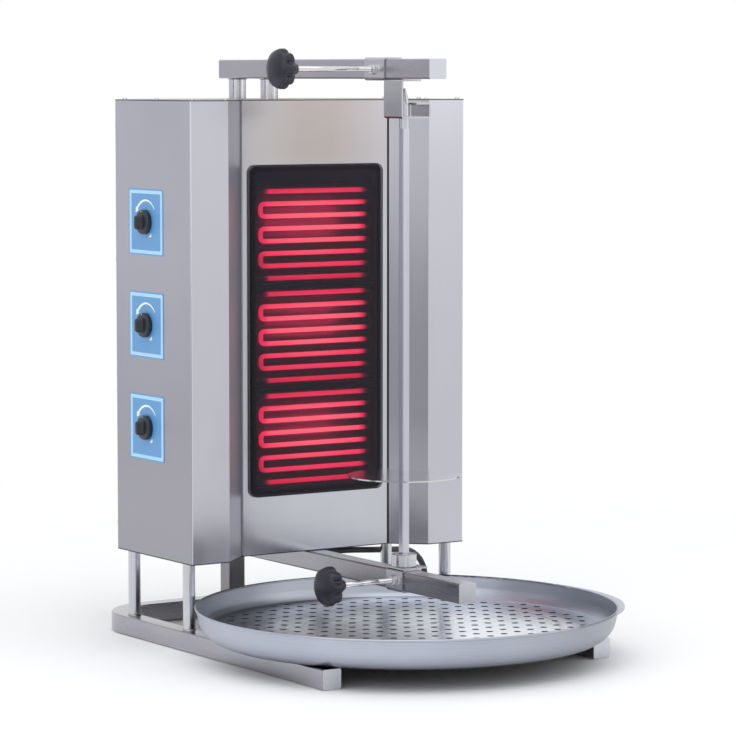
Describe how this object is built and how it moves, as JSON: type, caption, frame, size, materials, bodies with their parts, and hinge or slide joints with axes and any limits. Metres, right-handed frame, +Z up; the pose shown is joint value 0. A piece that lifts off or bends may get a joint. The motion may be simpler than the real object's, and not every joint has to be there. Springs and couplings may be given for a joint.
{
  "type": "doner kebab grill",
  "caption": "Upright electric doner grill with a tube frame, glowing window, turning spit between sliding carriages, side knobs and a round drip tray.",
  "frame": {"origin": "on the table, under the middle of the grill's width and depth without its lead", "axes": "+X to the right seen from the front, +Y to the rear, +Z up"},
  "size_m": [0.7872, 0.846, 0.915],
  "materials": {
    "frame_steel": "brushed stainless tube",
    "round_steel": "polished stainless",
    "housing_steel": "brushed stainless sheet",
    "inner_steel": "plain steel",
    "fastener_steel": "zinc plated",
    "tray_steel": "satin stainless",
    "dark_glass": "dark ceramic glass",
    "seal_rubber": "black heatproof seal",
    "hot_rod": "glowing metal-sheathed rod",
    "insulation": "mineral board",
    "ceramic": "steatite ceramic",
    "blue_label": "printed blue film",
    "regulator_body": "dark moulding",
    "black_knob": "black phenolic",
    "black_rubber": "black rubber"
  },
  "bodies": {
    "frame": {"base_frame": "frame_steel", "tube_end_caps": "frame_steel", "leg_front_left": "round_steel", "leg_front_right": "round_steel", "leg_rear_left": "round_steel", "leg_rear_right": "round_steel", "rear_column": "frame_steel", "lower_arm": "frame_steel", "upper_arm": "frame_steel", "arm_post_front": "round_steel", "arm_post_rear": "round_steel", "post_bracket": "inner_steel", "spine_channel": "inner_steel", "side_shell_left": "housing_steel", "side_shell_right": "housing_steel", "centre_panel": "housing_steel", "back_panel": "housing_steel", "bottom_plate": "housing_steel", "top_cover": "housing_steel", "cover_screws": "fastener_steel", "back_screws": "fastener_steel", "glass_panel": "dark_glass", "glass_seal": "seal_rubber", "heater_pans": "inner_steel", "heating_element_upper": "hot_rod", "heating_element_middle": "hot_rod", "heating_element_lower": "hot_rod", "insulation_boards": "insulation", "terminal_bushes": "ceramic", "terminal_block": "ceramic", "control_labels": "blue_label", "regulators": "regulator_body", "regulator_nuts": "fastener_steel", "lead_gland": "black_rubber", "supply_lead": "black_rubber", "lead_coil": "black_rubber", "lead_plug": "black_rubber"},
    "upper_control": {"control_knob_upper": "black_knob", "regulator_shaft_upper": "inner_steel"},
    "middle_control": {"control_knob_middle": "black_knob", "regulator_shaft_middle": "inner_steel"},
    "lower_control": {"control_knob_lower": "black_knob", "regulator_shaft_lower": "inner_steel"},
    "upper_carriage": {"upper_sleeve": "frame_steel", "hanger_bracket": "frame_steel", "upper_clamp_nut": "fastener_steel"},
    "upper_clamp": {"upper_clamp_screw": "fastener_steel", "upper_star_knob": "black_knob"},
    "lower_carriage": {"lower_sleeve": "frame_steel", "bearing_plate": "frame_steel", "thrust_washer": "inner_steel", "lower_clamp_nut": "fastener_steel"},
    "lower_clamp": {"lower_clamp_screw": "fastener_steel", "lower_star_knob": "black_knob"},
    "spit": {"spit": "round_steel", "spit_cup": "round_steel", "disc_pin": "round_steel"},
    "disc": {"meat_disc": "housing_steel"},
    "tray": {"drip_tray": "tray_steel"},
    "strainer": {"strainer_plate": "tray_steel"}
  },
  "joints": [
    {"name": "upper_control_turn", "type": "hinge", "parent": "frame", "child": "upper_control", "pos_m": [-0.26, 0.2455, 0.6504], "axis": [1, 0, 0], "range_deg": [0, 270]},
    {"name": "middle_control_turn", "type": "hinge", "parent": "frame", "child": "middle_control", "pos_m": [-0.26, 0.2455, 0.4916], "axis": [1, 0, 0], "range_deg": [0, 270]},
    {"name": "lower_control_turn", "type": "hinge", "parent": "frame", "child": "lower_control", "pos_m": [-0.26, 0.2455, 0.3328], "axis": [1, 0, 0], "range_deg": [0, 270]},
    {"name": "lower_carriage_slide", "type": "slide", "parent": "frame", "child": "lower_carriage", "axis": [0, 1, 0], "range_m": [-0.065, 0.1]},
    {"name": "upper_carriage_slide", "type": "slide", "parent": "frame", "child": "upper_carriage", "axis": [0, 1, 0], "range_m": [-0.065, 0.1]},
    {"name": "lower_clamp_turn", "type": "hinge", "parent": "lower_carriage", "child": "lower_clamp", "pos_m": [-0.134, -0.0947, 0.118], "axis": [1, 0, 0], "range_deg": [0, 360]},
    {"name": "upper_clamp_turn", "type": "hinge", "parent": "upper_carriage", "child": "upper_clamp", "pos_m": [-0.175, -0.0387, 0.885], "axis": [1, 0, 0], "range_deg": [0, 360]},
    {"name": "spit_spin", "type": "hinge", "parent": "lower_carriage", "child": "spit", "pos_m": [0, -0.0947, 0.15], "axis": [0, 0, 1], "continuous": true},
    {"name": "disc_lift", "type": "slide", "parent": "spit", "child": "disc", "axis": [0, 0, 1], "range_m": [0, 0.3]},
    {"name": "tray_slide", "type": "slide", "parent": "frame", "child": "tray", "axis": [0, -1, 0], "range_m": [0, 0.35]},
    {"name": "strainer_lift", "type": "slide", "parent": "tray", "child": "strainer", "axis": [0, 0, 1], "range_m": [0, 0.04]}
  ],
  "couplings": [
    {"joint": "upper_carriage_slide", "follows": "lower_carriage_slide", "ratio": 1}
  ]
}
